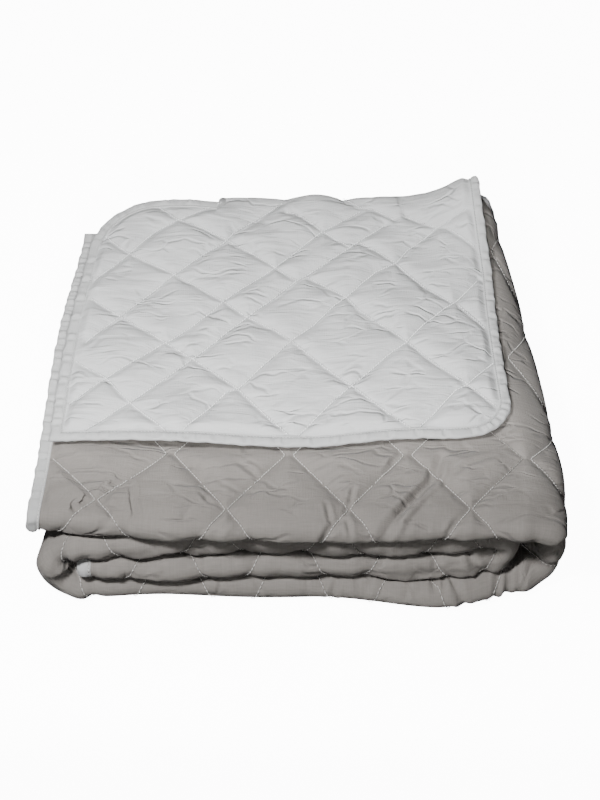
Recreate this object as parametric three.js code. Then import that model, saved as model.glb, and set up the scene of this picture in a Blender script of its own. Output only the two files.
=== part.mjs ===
// A quilted bedspread, folded: light grey face cloth, taupe backing cloth and a light grey binding tape.
// It is folded in half with the backing outside: the fold is at the front and the bound ends are at the back.
// That double strip is then rolled flat in four runs, and a narrow end is turned back over the top.
// Millimetres, +X to the right, +Y to the back, +Z up, with the origin under the middle of the bundle.
import * as THREE from "three";

// The cloth and its quilting
const CLOTH = {
  wadding: 0.8, // space left between the two cloths
  thin: 1.5, // one cloth and its half of the filling on a stitch line
  full: 4.1, // the same in the middle of a diamond
  diamond: 112, // from corner to corner of a diamond
};
const TAPE = { width: 12.8, half: 2.9, edgeHalf: 1.3, edgeRound: 1.6, gap: 0.7 };

// The fold in half: each leg's middle surface lies this far from the middle of the strip
const FOLD_RADIUS = 7.6;
const FOLD_STEPS = 6;
const FRONT_Y = -224;
const BACK_Y = 205;

// The four runs of the strip, from the inner end to the outer end, and the turns between them
const RUNS = [
  { name: "inner", from: -211, to: 180, z: 38.6 },
  { name: "over", from: 180, to: -206, z: 65.6 },
  { name: "under", from: -206, to: 205, z: 12.1 },
  { name: "top", from: 205, to: -242.5, z: 91.6 },
];
const RUN_STEP = 56;
const TURN_STEPS = [5, 6, 8];

// The end that is turned back over the top, and the fold at the back that joins it
const FLAP = {
  left: -242.5,
  right: 204.5,
  joinLeft: -102.5, // the joining fold runs from here to the right side
  foldRadius: 6.1,
  foldSteps: 4,
  depth: 335,
  backLeftRound: 66,
  frontRightRound: 48,
  backShift: 4, // how far its left side lies to the right at the back
};

// How far each front fold stands back from the front, at five places from left to right
const PLACES = { farLeft: -235, left: -120, middle: 0, right: 120, farRight: 235 };
const FRONT_SET = [
  { z: 12, farLeft: -7, left: 3, middle: 0, right: -9, farRight: 16 },
  { z: 39, farLeft: 4, left: 4, middle: 8, right: 15, farRight: 24 },
  { z: 66, farLeft: 12, left: 14, middle: 19, right: 21, farRight: 27 },
  { z: 92, farLeft: 26, left: 9, middle: 14, right: 15, farRight: 16 },
  { z: 112, farLeft: 26, left: 9, middle: 14, right: 15, farRight: 16 },
];

// How far the front edge of the turned-back end stands back, at the same places
const FLAP_SET = { farLeft: -3, left: 0, middle: -1, right: 12, farRight: 27 };

// How far the sides lean out at the front and in at the back
const LEAN = { rightFront: 7, rightBack: -13, rightTip: -13, leftFront: -5, leftBack: 0, endFront: -14, endBack: -9 };
const END_TUCK = 34; // the back corner of the outer end lies this far forward

// Places where the top layers stand up or sink
const LIFTS = [
  { name: "back right peak", x: 204, y: 206, height: 34, wide: 52, deep: 62 },
  { name: "back hump", x: 80, y: 206, height: 9, wide: 80, deep: 60 },
  { name: "back left hump", x: -130, y: 206, height: 7, wide: 70, deep: 60 },
  { name: "back dip", x: -84, y: 206, height: -5, wide: 42, deep: 45 },
  { name: "right shoulder sag", x: 240, y: 0, height: -7, wide: 60, deep: 170 },
];
const LIFT_FROM = 58; // layers under this height stay down
const LIFT_FULL = 104;

// Places where the turned-back end leaves the layer under it
const FLAP_LIFTS = [
  { name: "front left lip", x: -130, y: -140, height: 10, wide: 75, deep: 50 },
  { name: "front right lip", x: 60, y: -140, height: 3, wide: 50, deep: 40 },
  { name: "back right mouth", x: 204, y: 180, height: 7, wide: 40, deep: 60 },
];

// The right side is flatter than a half circle
const RIGHT_SIDE = { from: 205, share: 0.72 };

const FACE_COLOUR = 0xc9cac9;
const BACKING_COLOUR = 0x8a8681;
const TAPE_COLOUR = 0xc4c4c2;

const smooth = (from, to, x) => THREE.MathUtils.smoothstep(x, from, to);
const lerp = THREE.MathUtils.lerp;

// A soft mound of a list entry at a place on the plan
function mound(lift, x, y) {
  const across = (x - lift.x) / lift.wide;
  const along = (y - lift.y) / lift.deep;
  return lift.height * Math.exp(-across * across - along * along);
}

// A row of a table read at a place between its five columns
function readRow(row, x) {
  const names = Object.keys(PLACES);
  let column = 0;
  while (column < names.length - 2 && x > PLACES[names[column + 1]]) column += 1;
  const [from, to] = [names[column], names[column + 1]];
  return lerp(row[from], row[to], smooth(PLACES[from], PLACES[to], x));
}

// The way the front folds stand back, between the rows of the table
function frontSet(x, z) {
  let level = 0;
  while (level < FRONT_SET.length - 2 && z > FRONT_SET[level + 1].z) level += 1;
  const below = FRONT_SET[level];
  const above = FRONT_SET[level + 1];
  return lerp(readRow(below, x), readRow(above, x), smooth(below.z, above.z, z));
}

// How far a side leans at a place: the far right and the far left move, the middle stays
function lean(x, y, outerEnd) {
  const back = smooth(FRONT_Y, BACK_Y, y);
  const right = lerp(LEAN.rightFront * smooth(205, 250, x), LEAN.rightBack * smooth(60, 240, x), back);
  const tip = LEAN.rightTip * smooth(90, BACK_Y, y) * smooth(100, 230, x);
  const left = lerp(LEAN.leftFront, LEAN.leftBack, back) + outerEnd * lerp(LEAN.endFront, LEAN.endBack, back);
  return right + tip + left * smooth(130, 245, -x);
}

// Bends the ideal bundle into the uneven one: layers move with their neighbours, and the floor stays flat
function settle(point) {
  const { x, y, z } = point;
  const front = 1 - smooth(FRONT_Y, -60, y);
  const sides = smooth(150, 240, Math.abs(x));
  const raised = smooth(LIFT_FROM, LIFT_FULL, z);
  let high = z * (1 + 0.025 * Math.sin(x / 58) * Math.cos(y / 71));
  for (const lift of LIFTS) high += raised * mound(lift, x, y);
  const outerEnd = smooth(77.8, 79.3, z) * (1 - smooth(104, 106.8, z));
  const tuck = END_TUCK * outerEnd * smooth(110, 240, -x) * smooth(0, BACK_Y, y);
  const along = y - tuck + front * (frontSet(x, z) + 2.2 * Math.sin(x / 43 + z / 19));
  const past = Math.max(0, x - RIGHT_SIDE.from);
  const across = x - past * (1 - RIGHT_SIDE.share) + 3 * sides * Math.sin(y / 66 + z / 24);
  return new THREE.Vector3(across + lean(x, y, outerEnd), along, high);
}

// The path of the strip seen from the front: runs joined by half-circle turns, always turning the same way
function makeSpine() {
  const pieces = [];
  let start = 0;
  RUNS.forEach((run, index) => {
    const length = Math.abs(run.to - run.from);
    pieces.push({ kind: "run", run, start, length });
    start += length;
    const next = RUNS[index + 1];
    if (!next) return;
    const radius = Math.abs(next.z - run.z) / 2;
    const turn = { kind: "turn", run, next, start, radius, length: Math.PI * radius };
    pieces.push({ ...turn, steps: TURN_STEPS[index] });
    start += turn.length;
  });
  return { pieces, length: start };
}

const spine = makeSpine();
const topPiece = spine.pieces[spine.pieces.length - 1];

// Place and outward direction of the strip at a distance from its inner end
function spineAt(distance) {
  const inside = (piece) => distance <= piece.start + piece.length + 1e-6;
  const piece = spine.pieces.find(inside) ?? topPiece;
  const gone = distance - piece.start;
  const heading = Math.sign(piece.run.to - piece.run.from);
  if (piece.kind === "run") {
    return { x: piece.run.from + heading * gone, z: piece.run.z, nx: 0, nz: -heading };
  }
  const angle = gone / piece.radius;
  const middle = (piece.run.z + piece.next.z) / 2;
  const rise = Math.sign(piece.next.z - piece.run.z);
  const nx = heading * Math.sin(angle);
  const nz = -rise * Math.cos(angle);
  return { x: piece.run.to + piece.radius * nx, z: middle + piece.radius * nz, nx, nz };
}

const LEG = BACK_Y - FRONT_Y - FOLD_RADIUS;
const HALF_ARC = (Math.PI / 2) * FOLD_RADIUS;
const EDGE = HALF_ARC + LEG; // from the front fold to a bound end
const FLAP_ARC = Math.PI * FLAP.foldRadius;
const FLAP_START = EDGE + FLAP_ARC;
const FLAP_END = FLAP_START + FLAP.depth;
const HEM = TAPE.width + TAPE.gap; // the cloth ends this far inside the bound edge
const CELL = CLOTH.diamond / 4;

// On the top run and the turned-back end, a place is known by its x
const alongAt = (x) => topPiece.start + topPiece.run.from - x;
const xAt = (along) => topPiece.run.from - (along - topPiece.start);

// A point of the strip: along it, across it from the front fold, and out from its middle surface
function stripPoint(along, across, out) {
  const place = spineAt(along);
  const reach = FOLD_RADIUS + out;
  const turned = THREE.MathUtils.clamp(across, -HALF_ARC, HALF_ARC) / FOLD_RADIUS;
  const normal = reach * Math.sin(turned);
  const leg = Math.max(0, Math.abs(across) - HALF_ARC);
  const y = FRONT_Y + FOLD_RADIUS - reach * Math.cos(turned) + leg;
  return new THREE.Vector3(place.x + normal * place.nx, y, place.z + normal * place.nz);
}

// A point of the turned-back end and of the fold that joins it to the top run
function flapPoint(x, across, out) {
  const foldZ = topPiece.run.z + FOLD_RADIUS + FLAP.foldRadius;
  const reach = FLAP.foldRadius - out;
  const turned = Math.min(across - EDGE, FLAP_ARC) / FLAP.foldRadius;
  const leg = Math.max(0, across - FLAP_START);
  const set = readRow(FLAP_SET, x) * smooth(0.2, 1, leg / FLAP.depth);
  const y = BACK_Y + reach * Math.sin(turned) - leg + set;
  let z = foldZ - reach * Math.cos(turned);
  for (const lift of FLAP_LIFTS) z += smooth(0, FLAP_ARC, across - EDGE) * mound(lift, x, y);
  return new THREE.Vector3(x, y, z);
}

// Where a point of the flat cloth lies in the folded bundle
function folded(along, across, out) {
  if (across <= EDGE) return settle(stripPoint(along, across, out));
  return settle(flapPoint(xAt(along), across, out));
}

// Quilting: how full the filling is, from 0 on a stitch line to 1 in the middle of a diamond
function fullness(along, across) {
  const a = along - alongAt(FLAP.right - HEM - 3 * CELL);
  const b = across > EDGE ? across - (FLAP_END - HEM) : across - FRONT_ROWS[2];
  const one = Math.abs(Math.sin((Math.PI * (a + b)) / CLOTH.diamond));
  const other = Math.abs(Math.sin((Math.PI * (a - b)) / CLOTH.diamond));
  return Math.sqrt(one * other);
}

// The run that lies on the floor is pressed flat under the others
function onFloor(along, across) {
  const under = spine.pieces.find((piece) => piece.kind === "run" && piece.run.name === "under");
  const inRun = along > under.start - 1 && along < under.start + under.length + 1;
  return inRun && across > HALF_ARC - 1;
}

// Grid lines along the strip: even steps on each run and turn, and cells of the quilting on the top run
function makeColumns() {
  const columns = [HEM];
  for (const piece of spine.pieces) {
    if (piece === topPiece) continue;
    const steps = piece.steps ?? Math.round(piece.length / RUN_STEP);
    for (let step = 1; step <= steps; step += 1) {
      columns.push(piece.start + (piece.length * step) / steps);
    }
  }
  for (let x = FLAP.right - HEM; x > FLAP.left + HEM - 1; x -= CELL) columns.push(alongAt(x));
  return columns;
}

// Grid lines across the strip, from the inner leg's end round the front fold to the outer leg's end
const FRONT_ROWS = [27, 27 + CELL, 27 + 2 * CELL, 27 + 3 * CELL];
const HIDDEN_ROWS = [200, 285, 350];
function makeRows() {
  const rows = [HEM - EDGE, -HIDDEN_ROWS[2], -HIDDEN_ROWS[0], -FRONT_ROWS[1]];
  for (let step = 0; step <= FOLD_STEPS; step += 1) {
    rows.push(HALF_ARC * ((2 * step) / FOLD_STEPS - 1));
  }
  rows.push(...FRONT_ROWS, ...HIDDEN_ROWS, EDGE - HEM);
  return rows;
}

// Grid lines of the joining fold and of the turned-back end, closer together at its round corners
const CORNER_ANGLES = [0, 22.5, 45, 67.5, 90];
const cornerRows = (radius) => {
  return CORNER_ANGLES.map((angle) => radius * (1 - Math.cos(THREE.MathUtils.degToRad(angle))));
};
function makeJoinRows() {
  const rows = [];
  for (let step = 0; step <= FLAP.foldSteps; step += 1) {
    rows.push(EDGE + (FLAP_ARC * step) / FLAP.foldSteps);
  }
  return rows;
}
function makeFlapRows() {
  const first = FLAP_START + HEM;
  const last = FLAP_END - HEM;
  const back = cornerRows(FLAP.backLeftRound - HEM).map((inset) => first + inset);
  const front = cornerRows(FLAP.frontRightRound - HEM).map((inset) => last - inset).toReversed();
  const between = [];
  for (let row = last; row > first; row -= CELL) {
    if (row > back.at(-1) + CELL / 2 && row < front[0] - CELL / 2) between.unshift(row);
  }
  return [...back, ...between, ...front];
}

const columns = makeColumns();
const flapFirst = columns.findIndex((along) => Math.abs(xAt(along) - (FLAP.right - HEM)) < 1);
const joinLast = columns.findIndex((along) => xAt(along) < FLAP.joinLeft + HEM + 1);
const rows = { strip: makeRows(), join: makeJoinRows(), flap: makeFlapRows() };

// The round corners of the turned-back end, and its sides where the cloth stops
const ROUND = {
  left: { radius: FLAP.backLeftRound, edge: FLAP_START, inward: 1, x: FLAP.left, towards: 1 },
  right: { radius: FLAP.frontRightRound, edge: FLAP_END, inward: -1, x: FLAP.right, towards: -1 },
};
const sideShift = (across) => (FLAP.backShift * (FLAP_END - across)) / FLAP.depth;
function flapSide(name, across) {
  const corner = ROUND[name];
  const radius = corner.radius - HEM;
  const rest = Math.max(0, radius - corner.inward * (across - corner.edge) + HEM);
  const cut = radius - Math.sqrt(Math.max(0, radius * radius - rest * rest));
  const shift = name === "left" ? sideShift(across) : 0;
  return corner.x + corner.towards * (HEM + cut) + shift;
}

// The bound edge next to a place on a side
function flapRim(name, across) {
  const corner = ROUND[name];
  const radius = corner.radius - HEM;
  const rest = Math.max(0, radius - corner.inward * (across - corner.edge) + HEM);
  const out = Math.sqrt(Math.max(0, radius * radius - rest * rest));
  const grow = corner.radius / radius;
  const rim = rest > 0 ? corner.edge + corner.inward * (corner.radius - rest * grow) : across;
  const x = corner.x + corner.towards * (corner.radius - out * grow);
  return [alongAt(name === "left" ? x + sideShift(across) : x), rim];
}

// Moves a column of the turned-back end so that the outer ones follow its rounded sides
const KEEP_LEFT = FLAP.joinLeft + HEM;
const KEEP_RIGHT = FLAP.right - HEM - 4 * CELL;
function flapX(nominal, across) {
  if (nominal < KEEP_LEFT) {
    const share = (KEEP_LEFT - nominal) / (KEEP_LEFT - FLAP.left - HEM);
    return lerp(KEEP_LEFT, flapSide("left", across), share);
  }
  if (nominal > KEEP_RIGHT) {
    const share = (nominal - KEEP_RIGHT) / (FLAP.right - HEM - KEEP_RIGHT);
    return lerp(KEEP_RIGHT, flapSide("right", across), share);
  }
  return nominal;
}

// The flat cloth as a grid of columns and rows, with the cells that the cut leaves
function makeGrid() {
  const all = [...rows.strip, ...rows.join, ...rows.flap];
  const lastStrip = rows.strip.length - 1;
  const firstFlap = all.length - rows.flap.length;
  const place = (i, j) => {
    const along = columns[i];
    return j < firstFlap ? [along, all[j]] : [alongAt(flapX(xAt(along), all[j])), all[j]];
  };
  const has = (i, j) => {
    if (i < 0 || j < 0 || i >= columns.length - 1 || j >= all.length - 1) return false;
    if (j < lastStrip) return true;
    if (i < flapFirst) return false;
    return j >= firstFlap || i < joinLast;
  };
  return { place, has, wide: columns.length, deep: all.length };
}

const grid = makeGrid();

// One cloth of the quilt as a closed solid on the grid: the sewn side, the padded side and the rim
function clothSolid(backing) {
  const positions = [];
  const indices = [];
  const numbers = new Map();
  const number = (i, j, padded) => {
    const key = `${i} ${j} ${padded}`;
    if (!numbers.has(key)) {
      const [along, across] = grid.place(i, j);
      const puff = backing && onFloor(along, across) ? 1 : fullness(along, across);
      const depth = CLOTH.wadding / 2 + (padded ? lerp(CLOTH.thin, CLOTH.full, puff) : 0);
      numbers.set(key, positions.length / 3);
      positions.push(...folded(along, across, backing ? depth : -depth).toArray());
    }
    return numbers.get(key);
  };
  const quad = (a, b, c, d, alongAC) => {
    if (alongAC) indices.push(a, b, c, a, c, d);
    else indices.push(a, b, d, b, c, d);
  };
  const mean = (one, other, part) => (grid.place(...one)[part] + grid.place(...other)[part]) / 2;
  const level = (corner) => fullness(...grid.place(...corner));
  for (let i = 0; i < grid.wide - 1; i += 1) {
    for (let j = 0; j < grid.deep - 1; j += 1) {
      if (!grid.has(i, j)) continue;
      const corners = [[i, j], [i + 1, j], [i + 1, j + 1], [i, j + 1]];
      const centre = fullness(mean(corners[0], corners[2], 0), mean(corners[0], corners[2], 1));
      const main = Math.abs((level(corners[0]) + level(corners[2])) / 2 - centre);
      const cross = Math.abs((level(corners[1]) + level(corners[3])) / 2 - centre);
      const along = main < cross;
      const [a, b, c, d] = corners.map((corner) => number(...corner, true));
      const [e, f, g, h] = corners.map((corner) => number(...corner, false));
      quad(...(backing ? [a, d, c, b] : [a, b, c, d]), along);
      quad(...(backing ? [e, f, g, h] : [e, h, g, f]), along);
      const beyond = [[i, j - 1], [i + 1, j], [i, j + 1], [i - 1, j]];
      const outer = [a, b, c, d];
      const inner = [e, f, g, h];
      beyond.forEach((cell, side) => {
        if (grid.has(...cell)) return;
        const next = (side + 1) % 4;
        const wall = [outer[side], inner[side], inner[next], outer[next]];
        quad(...(backing ? wall.toReversed() : wall), true);
      });
    }
  }
  const geometry = new THREE.BufferGeometry();
  geometry.setAttribute("position", new THREE.Float32BufferAttribute(positions, 3));
  geometry.setIndex(indices);
  geometry.computeVertexNormals();
  return geometry;
}

// The bound edge of the flat cloth, once round, with the cloth on the left
function makeOutline() {
  const end = spine.length;
  const strip = rows.strip.slice(1, -1);
  const left = strip.map((across) => [end, across]);
  const right = strip.toReversed().map((across) => [0, across]);
  const inner = columns.slice(1, -1).map((along) => [along, -EDGE]);
  const back = columns.toReversed();
  const leftBack = back.filter((along) => xAt(along) < FLAP.joinLeft - CELL / 2 && along > alongAt(0));
  const rightBack = back.filter((along) => along < alongAt(FLAP.right) - 1 && along > HEM + 1);
  const joinRows = rows.join.slice(1, -1);
  const side = (name) => rows.flap.slice(1, -1).map((across) => flapRim(name, across));
  const first = rows.flap[0];
  const last = rows.flap.at(-1);
  const flapColumns = columns.slice(flapFirst).map(xAt);
  const freeColumns = flapColumns.filter((x) => x < KEEP_LEFT - 1);
  const backEdge = freeColumns.map((x) => [alongAt(flapX(x, first)), FLAP_START]);
  const frontEdge = flapColumns.slice(0, -1).map((x) => [alongAt(flapX(x, last)), FLAP_END]);
  return [
    [end, -EDGE],
    ...left,
    [end, EDGE],
    ...leftBack.map((along) => [along, EDGE]),
    [alongAt(FLAP.joinLeft), EDGE],
    ...joinRows.map((across) => [alongAt(FLAP.joinLeft), across]),
    [alongAt(FLAP.joinLeft), FLAP_START],
    ...backEdge,
    ...side("left"),
    [alongAt(FLAP.left), FLAP_END],
    ...frontEdge.toReversed(),
    ...side("right").toReversed(),
    ...joinRows.toReversed().map((across) => [alongAt(FLAP.right), across]),
    [alongAt(FLAP.right), EDGE],
    ...rightBack.map((along) => [along, EDGE]),
    [0, EDGE],
    ...right,
    [0, -EDGE],
    ...inner,
  ];
}

// The binding tape: a rounded section carried once round the outline
function tapeSolid() {
  const outline = makeOutline();
  const section = [
    [TAPE.width, TAPE.half],
    [TAPE.edgeRound, TAPE.half],
    [0, TAPE.edgeHalf],
    [0, -TAPE.edgeHalf],
    [TAPE.edgeRound, -TAPE.half],
    [TAPE.width, -TAPE.half],
  ];
  const positions = [];
  const indices = [];
  const count = outline.length;
  const size = section.length;
  outline.forEach((point, index) => {
    const before = new THREE.Vector2(...outline[(index + count - 1) % count]);
    const here = new THREE.Vector2(...point);
    const after = new THREE.Vector2(...outline[(index + 1) % count]);
    const into = here.clone().sub(before).normalize();
    const away = after.sub(here).normalize();
    const normal = new THREE.Vector2(-into.y - away.y, into.x + away.x).normalize();
    const mitre = 1 / Math.max(0.5, normal.dot(new THREE.Vector2(-into.y, into.x)));
    for (const [inset, out] of section) {
      const flat = here.clone().addScaledVector(normal, inset * mitre);
      positions.push(...folded(flat.x, flat.y, out).toArray());
    }
    const next = (index + 1) % count;
    for (let k = 0; k < size; k += 1) {
      const a = index * size + k;
      const b = index * size + ((k + 1) % size);
      const c = next * size + ((k + 1) % size);
      const d = next * size + k;
      indices.push(a, c, b, a, d, c);
    }
  });
  const geometry = new THREE.BufferGeometry();
  geometry.setAttribute("position", new THREE.Float32BufferAttribute(positions, 3));
  geometry.setIndex(indices);
  geometry.computeVertexNormals();
  return geometry;
}

function clothMesh(name, geometry, color) {
  const material = new THREE.MeshStandardMaterial({ color, roughness: 0.92, metalness: 0 });
  const mesh = new THREE.Mesh(geometry, material);
  mesh.name = name;
  return mesh;
}

const bedspread = new THREE.Group();
bedspread.name = "bedspread";
bedspread.add(clothMesh("face_cloth", clothSolid(false), FACE_COLOUR));
bedspread.add(clothMesh("backing_cloth", clothSolid(true), BACKING_COLOUR));
bedspread.add(clothMesh("binding_tape", tapeSolid(), TAPE_COLOUR));

// The origin is under the middle of the finished bundle
const box = new THREE.Box3().setFromObject(bedspread);
const middle = box.getCenter(new THREE.Vector3());
for (const mesh of bedspread.children) mesh.geometry.translate(-middle.x, -middle.y, -box.min.z);

export default bedspread;
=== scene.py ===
"""Dresses a folded quilted bedspread: its two cloths, its binding and its stitching, on a plain stage."""

import math

import bmesh
import bpy
import numpy as np
from bpy.props import FloatProperty, FloatVectorProperty, PointerProperty
from bpy.types import Operator, Panel, PropertyGroup
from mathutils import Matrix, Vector


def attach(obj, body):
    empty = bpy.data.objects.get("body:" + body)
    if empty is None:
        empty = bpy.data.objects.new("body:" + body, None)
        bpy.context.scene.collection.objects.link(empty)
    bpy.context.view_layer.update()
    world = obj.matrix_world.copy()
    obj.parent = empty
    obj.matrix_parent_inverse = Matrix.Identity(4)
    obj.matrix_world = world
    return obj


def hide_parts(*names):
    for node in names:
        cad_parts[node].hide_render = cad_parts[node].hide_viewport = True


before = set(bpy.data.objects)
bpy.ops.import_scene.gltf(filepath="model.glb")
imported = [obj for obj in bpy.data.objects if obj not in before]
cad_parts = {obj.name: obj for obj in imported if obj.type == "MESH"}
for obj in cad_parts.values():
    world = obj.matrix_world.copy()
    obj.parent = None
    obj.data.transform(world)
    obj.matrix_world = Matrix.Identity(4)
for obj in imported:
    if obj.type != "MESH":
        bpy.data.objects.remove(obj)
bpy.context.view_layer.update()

bl_info = {
    "name": "Folded Quilted Bedspread",
    "version": (1, 0, 0),
    "blender": (4, 5, 0),
    "location": "3D View > Sidebar > Bedspread",
    "description": "Makes the cloths, the binding and the stitching of a folded quilted bedspread",
    "category": "Object",
}

# The folded form in millimetres, as in the part's source
MM = 0.001
CENTRE_X = -6.816
CENTRE_Y = -9.752
FOLD_RADIUS = 7.6
FRONT_Y = -224.0
BACK_Y = 205.0
RUNS = [
    {"name": "inner", "from": -211.0, "to": 180.0, "z": 38.6},
    {"name": "over", "from": 180.0, "to": -206.0, "z": 65.6},
    {"name": "under", "from": -206.0, "to": 205.0, "z": 12.1},
    {"name": "top", "from": 205.0, "to": -242.5, "z": 91.6},
]
FLAP_LEFT = -242.5
FLAP_RIGHT = 204.5
JOIN_LEFT = -102.5
FLAP_FOLD_RADIUS = 6.1
FLAP_DEPTH = 335.0
BACK_SHIFT = 4.0
BACK_LEFT_ROUND = 66.0
FRONT_RIGHT_ROUND = 48.0
PLACES = np.array([-235.0, -120.0, 0.0, 120.0, 235.0])
FRONT_LEVELS = np.array([12.0, 39.0, 66.0, 92.0, 112.0])
FRONT_SET = [
    [-7.0, 3.0, 0.0, -9.0, 16.0],
    [4.0, 4.0, 8.0, 15.0, 24.0],
    [12.0, 14.0, 19.0, 21.0, 27.0],
    [26.0, 9.0, 14.0, 15.0, 16.0],
    [26.0, 9.0, 14.0, 15.0, 16.0],
]
FLAP_SET = [-3.0, 0.0, -1.0, 12.0, 27.0]

# Soft mounds in the top layers and in the turned-back end: x, y, height, width and depth
LIFTS = [
    (204, 206, 34, 52, 62),
    (80, 206, 9, 80, 60),
    (-130, 206, 7, 70, 60),
    (-84, 206, -5, 42, 45),
    (240, 0, -7, 60, 170),
]
FLAP_LIFTS = [
    (-130, -140, 10, 75, 50),
    (60, -140, 3, 50, 40),
    (204, 180, 7, 40, 60),
]
LIFT_FROM = 58.0
LIFT_FULL = 104.0

# How the sides lean, how the outer end is tucked in at the back, and how the layers waver
LEAN = {"right_front": 7.0, "right_back": -13.0, "right_tip": -13.0, "left_front": -5.0, "left_back": 0.0,
        "end_front": -14.0, "end_back": -9.0}
END_TUCK = 34.0
END_LOW = (77.8, 79.3)
END_HIGH = (104.0, 106.8)
RIGHT_SIDE = 205.0
RIGHT_SQUASH = 0.28
LAYER_SWELL = 0.025
FRONT_WAVE = 2.2
SIDE_WAVE = 3.0

# The quilted cloth: half the filling, a cloth on a stitch line and in the middle of a diamond, its wrinkles
HALF_WADDING = 0.4
THIN = 1.2
FULL = 4.1
INNER_PUFF = 5.0
PRESSED_PUFF = 4.6
BACKING_PUFF = 5.6
SIDE_PUFF = 7.6
FREE_PUFF = 9.2
FACE_PUFF = 9.2
LEAST = 0.9
GROOVE = 0.9
ROUNDNESS = 0.45
FOLD_WAVE = 0.6
FLAP_WAVE = 1.2
BACKING_CRINKLE = 0.8
FACE_CRINKLE = 0.85
BACKING_PUCKER = 0.4
FACE_PUCKER = 0.45
FOLD_WIDE = 26.0
FREE_FROM = (4.0, 30.0)
FREE_TO = (84.0, 108.0)
PATCHES = 64
FAR = 1e3

# The zigzag rows: where two of them meet, how close they come there, and how deep a zigzag is for its width
NODE_X = 96.0
NODE_ROW = 96.5
UPPER_GAP = 3.2
LOWER_GAP = 0.3
DEEP = 1.2
JOIN_BLEND = 15.0

# The binding, how far the cloths go under it, and the rows of stitches along it
TAPE_WIDTH = 12.8
HEM = 13.5
TUCK = 8.8
RIM = 11.0
STITCH_INSET = 11.3
STITCH_OUT = 1.7
TAPE_PITCH = 3.1
TAPE_STITCH = 0.72
LONGEST_STITCH = 3.0
TAPE_PULL = 1.5
EDGE_PULL = 0.8

# The stitches: their share of a pitch, what they keep clear of, their width for the thread, lift and shade;
# the darkest shade is painted shade of the binding's needle holes
QUILT_STITCH = 0.84
ROW_STEP = 0.25
FLOOR_CLEAR = 3.0
TAPE_CLEAR = 0.6
ROUND_CLEAR = 5.0
QUILT_LIFT = 0.7
FLAP_THREAD = 1.35
FLAP_LIFT = 1.2
TAPE_THREAD = 0.9
TAPE_LIFT = 0.2
PALE = 1.7
HOLE_SHADE = 0.5

# Grid spacing on the runs and turns: the backing, the backing near its front fold, and the face
BACKING_GRID = {"inner": 14.0, "over": 14.0, "under": 14.0}
BACKING_GRID |= {"inner turn": 6.0, "over turn": 2.6, "under turn": 2.6}
FRONT_GRID = BACKING_GRID | {"inner": 2.4, "inner turn": 2.4, "over": 2.4, "under": 2.1}
FACE_GRID = {"inner": 18.0, "over": 18.0, "under": 18.0}
FACE_GRID |= {"inner turn": 5.0, "over turn": 6.0, "under turn": 6.0}
BACKING_STEP = 1.5
FACE_STEP = 1.7
HIDDEN_STEP = 24.0
JOIN_STEP = 2.4
TAPE_STEP = 2.3
TAPE_HIDDEN_STEP = 5.0
ROUND_STEPS = 34
ROUND_COLUMNS = 112.0
FRONT_FROM = -40.0
FRONT_TO = 110.0
WELD = 0.02
TINY = 1e-9

# Rows of the flat cloth, counted from the front fold
HALF_ARC = math.pi / 2 * FOLD_RADIUS
EDGE = HALF_ARC + BACK_Y - FRONT_Y - FOLD_RADIUS
FLAP_ARC = math.pi * FLAP_FOLD_RADIUS
FLAP_START = EDGE + FLAP_ARC
FLAP_END = FLAP_START + FLAP_DEPTH

# Rows of quilting on the turned-back end: places across the bundle and distances from the back fold
FLAP_ROWS = [
    [(-174, 8), (-144, 34), (-113, 46), (-91, 58), (-65, 76), (-39, 96), (-13, 116)],
    [(-2, 111), (40, 143), (52, 160), (96, 205), (159, 268), (189, 301)],
    [(-228, 49), (-195, 79), (-144, 109), (-90, 145), (-65, 166), (-37, 183), (-17, 200), (43, 261),
     (101, 325)],
    [(-223, 146), (-192, 168), (-149, 199), (-116, 222), (-69, 260), (-17, 322)],
    [(-226, 229), (-195, 251), (-171, 281), (-134, 323)],
    [(-26, 18), (-11, 24), (14, 45), (43, 68)],
    [(54, 63), (92, 90), (125, 130), (154, 150)],
    [(160, 152), (188, 185)],
    [(36, -4), (58, 13), (69, 14), (93, 29)],
    [(107, 25), (144, 42), (157, 46), (190, 76)],
    [(-224, 120), (-194, 81), (-170, 52), (-144, 35), (-111, 14), (-96, 2)],
    [(-219, 204), (-192, 169), (-146, 114), (-123, 91), (-92, 63), (-82, 48), (-44, 15), (-28, 0)],
    [(-231, 288), (-199, 255), (-148, 205), (-139, 199), (-99, 160), (-90, 147), (-39, 101), (14, 45),
     (58, 15)],
    [(-208, 322), (-177, 287), (-116, 223), (-65, 169), (-41, 145), (-13, 116), (-3, 109), (43, 69),
     (83, 36)],
    [(-117, 320), (-80, 266), (-69, 261), (-23, 206), (-14, 196), (3, 181), (28, 151), (44, 136), (70, 105),
     (93, 90), (107, 71), (144, 44), (187, 34)],
    [(-10, 324), (26, 276), (41, 263), (85, 221), (99, 210), (120, 183), (145, 157), (159, 146), (187, 113)],
    [(104, 326), (146, 275), (159, 269), (192, 238)],
]

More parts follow.
